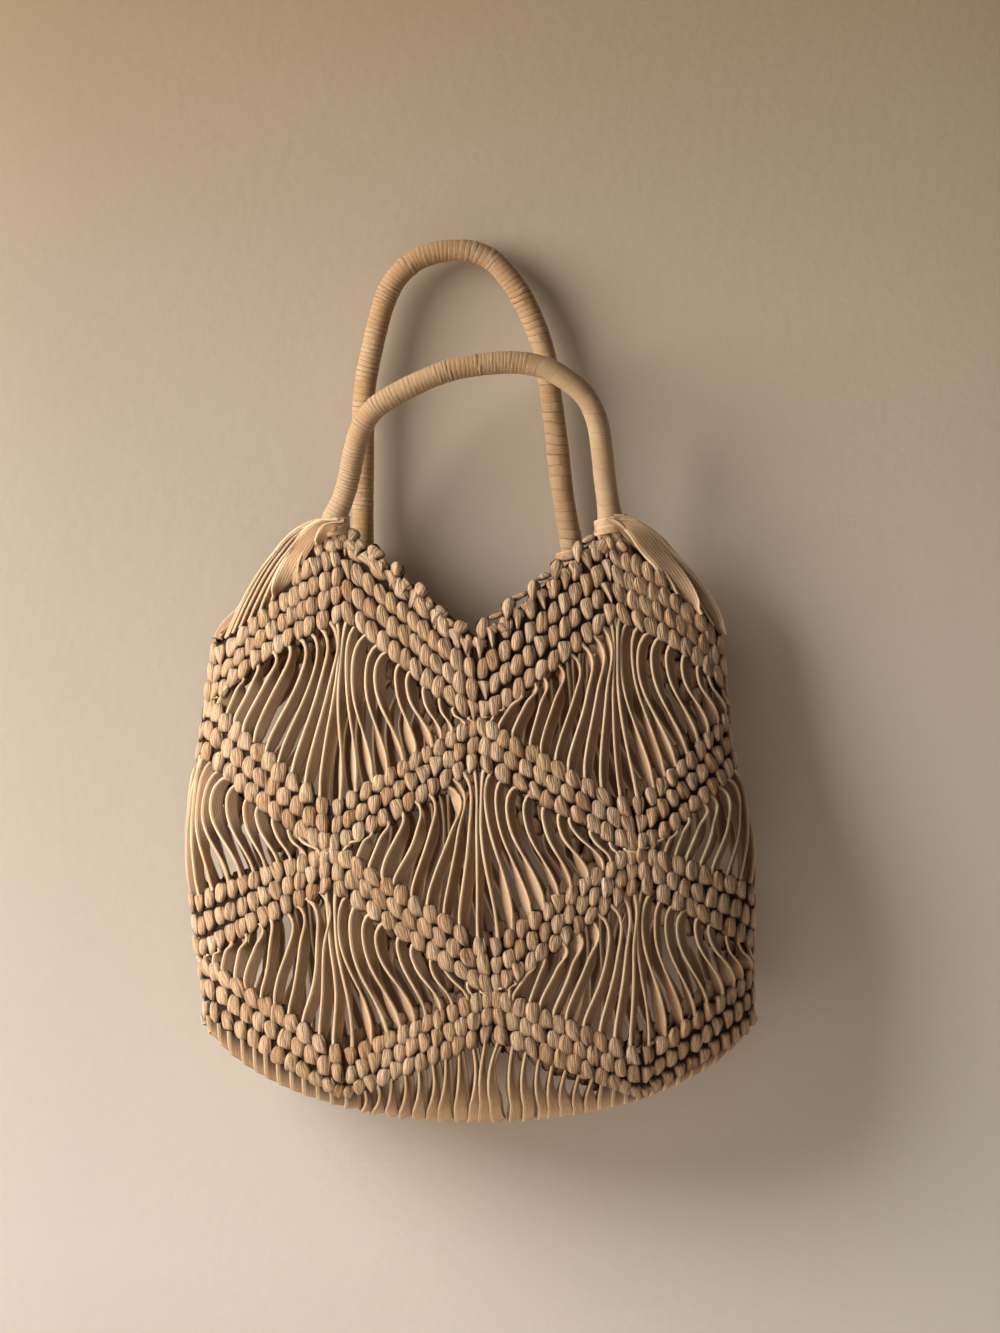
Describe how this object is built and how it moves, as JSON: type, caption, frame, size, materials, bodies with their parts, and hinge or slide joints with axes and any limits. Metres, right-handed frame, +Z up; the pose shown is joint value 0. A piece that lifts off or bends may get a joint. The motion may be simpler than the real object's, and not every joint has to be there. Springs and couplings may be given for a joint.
{
  "type": "macrame tote bag",
  "caption": "Open net tote bag of flat cords, with zigzag bands of knots, an open cord bottom, gathered shoulders and bound loop handles, hanging by its back handle.",
  "frame": {"origin": "the underside of the back handle's arch, where a hook holds the bag", "axes": "+Z up, front of the bag towards -Y, +X to the right as seen from the front"},
  "size_m": [0.3691, 0.119, 0.5775],
  "materials": {
    "cord": "matt cotton, soft nap",
    "handle_binding": "matt cotton, tightly wound"
  },
  "bodies": {
    "root": {"rim_band": "cord", "second_band": "cord", "third_band": "cord", "bottom_band": "cord", "front_handle": "handle_binding", "front_left_shoulder_cords": "cord", "front_right_shoulder_cords": "cord", "back_handle": "handle_binding", "back_left_shoulder_cords": "cord", "back_right_shoulder_cords": "cord"}
  },
  "joints": []
}
